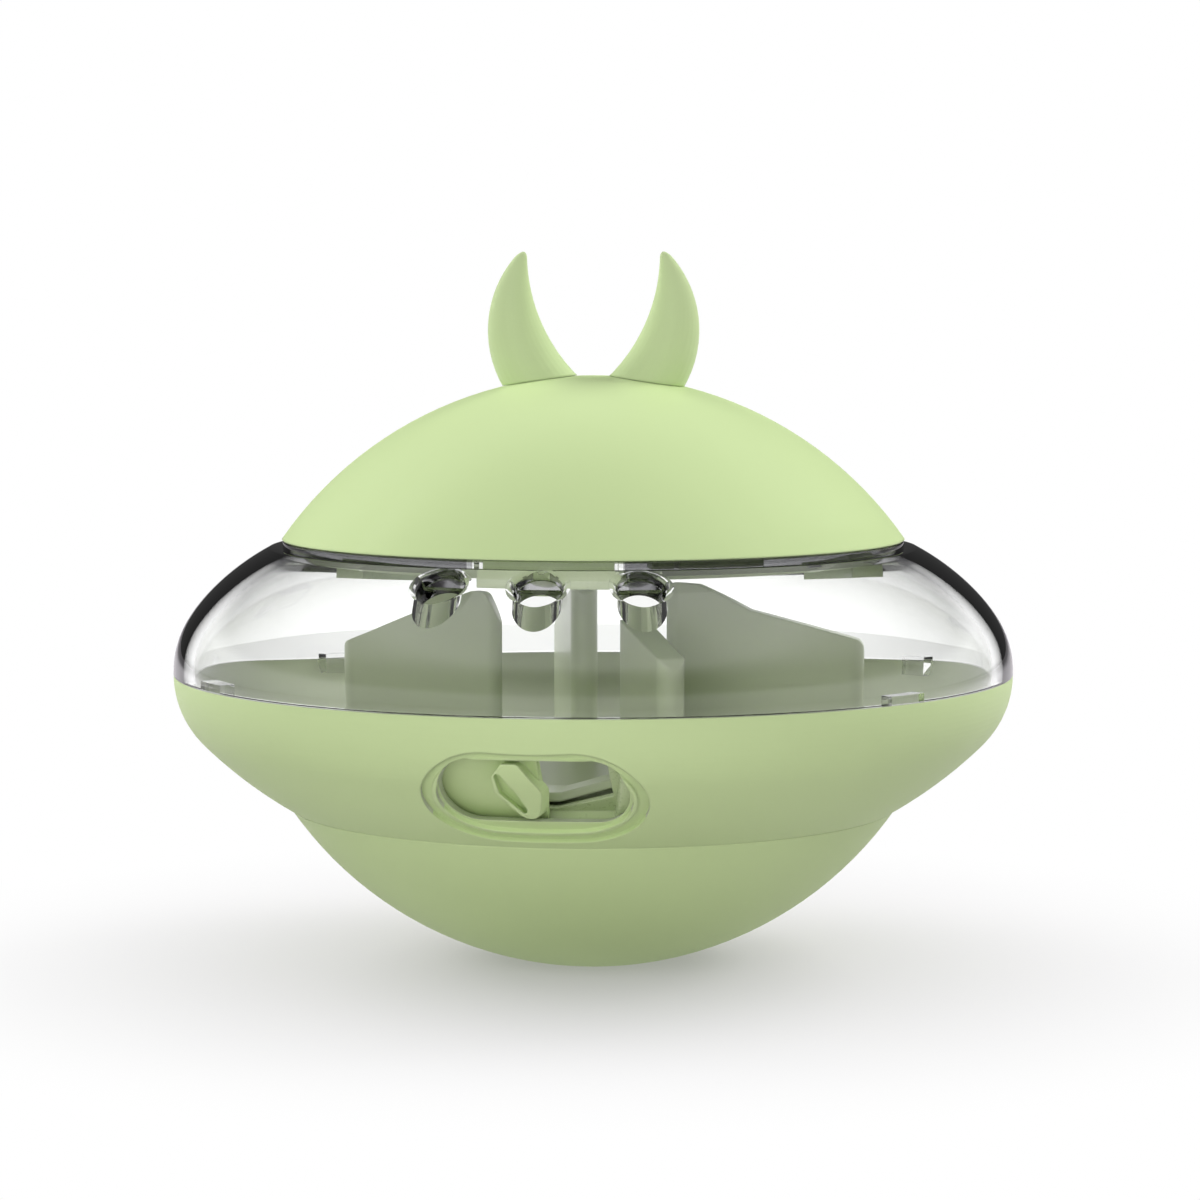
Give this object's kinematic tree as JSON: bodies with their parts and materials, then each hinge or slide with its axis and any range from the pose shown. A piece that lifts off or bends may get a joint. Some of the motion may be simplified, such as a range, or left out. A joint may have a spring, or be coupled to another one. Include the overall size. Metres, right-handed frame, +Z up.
{
  "type": "wobble treat toy",
  "caption": "Saucer-shaped roly-poly pet toy that drops treats through a slot with a sliding gate; clear window ring and a lift-off bayonet lid with two horns.",
  "frame": {"origin": "on the ground under the middle axis, in the flat of the foot", "axes": "+Z up along the middle axis; -Y is the front, where the treat slot is; +X is to the right seen from the front; the horns stand along X"},
  "size_m": [0.12, 0.12, 0.1014],
  "materials": {
    "sage_body": "satin sage-green ABS, faint moulded grain",
    "sage_inner": "semi-gloss sage-green ABS",
    "clear_window": "polished clear acrylic",
    "soft_horn": "satin sage-green silicone rubber",
    "seal_rubber": "matte silicone rubber",
    "screw_steel": "zinc-plated steel",
    "cast_weight": "raw cast iron"
  },
  "bodies": {
    "body": {"base_bowl": "sage_body", "counterweight": "cast_weight", "weight_clamp": "sage_inner", "weight_screws": "screw_steel", "lower_shell": "sage_body", "base_screws": "screw_steel", "treat_tray": "sage_inner", "tray_screws": "screw_steel", "gate_rail": "sage_inner", "gate_rail_screws": "screw_steel", "window_ring": "clear_window"},
    "gate": {"outlet_gate": "sage_body"},
    "seal": {"lid_seal": "seal_rubber"},
    "lid": {"lid_dome": "sage_body", "lid_lock_ring": "sage_inner", "lock_ring_screws": "screw_steel", "left_horn": "soft_horn", "right_horn": "soft_horn", "horn_washers": "screw_steel", "horn_screws": "screw_steel"}
  },
  "joints": [
    {"name": "gate_slide", "type": "hinge", "parent": "body", "child": "gate", "pos_m": [0, 0, 0.0316], "axis": [0, 0, 1], "range_deg": [-6.2, 10.5]},
    {"name": "lid_lift", "type": "slide", "parent": "body", "child": "seal", "axis": [0, 0, 1], "range_m": [0, 0.045]},
    {"name": "lid_turn", "type": "hinge", "parent": "seal", "child": "lid", "pos_m": [0, 0, 0.0605], "axis": [0, 0, 1], "range_deg": [0, 35]}
  ]
}
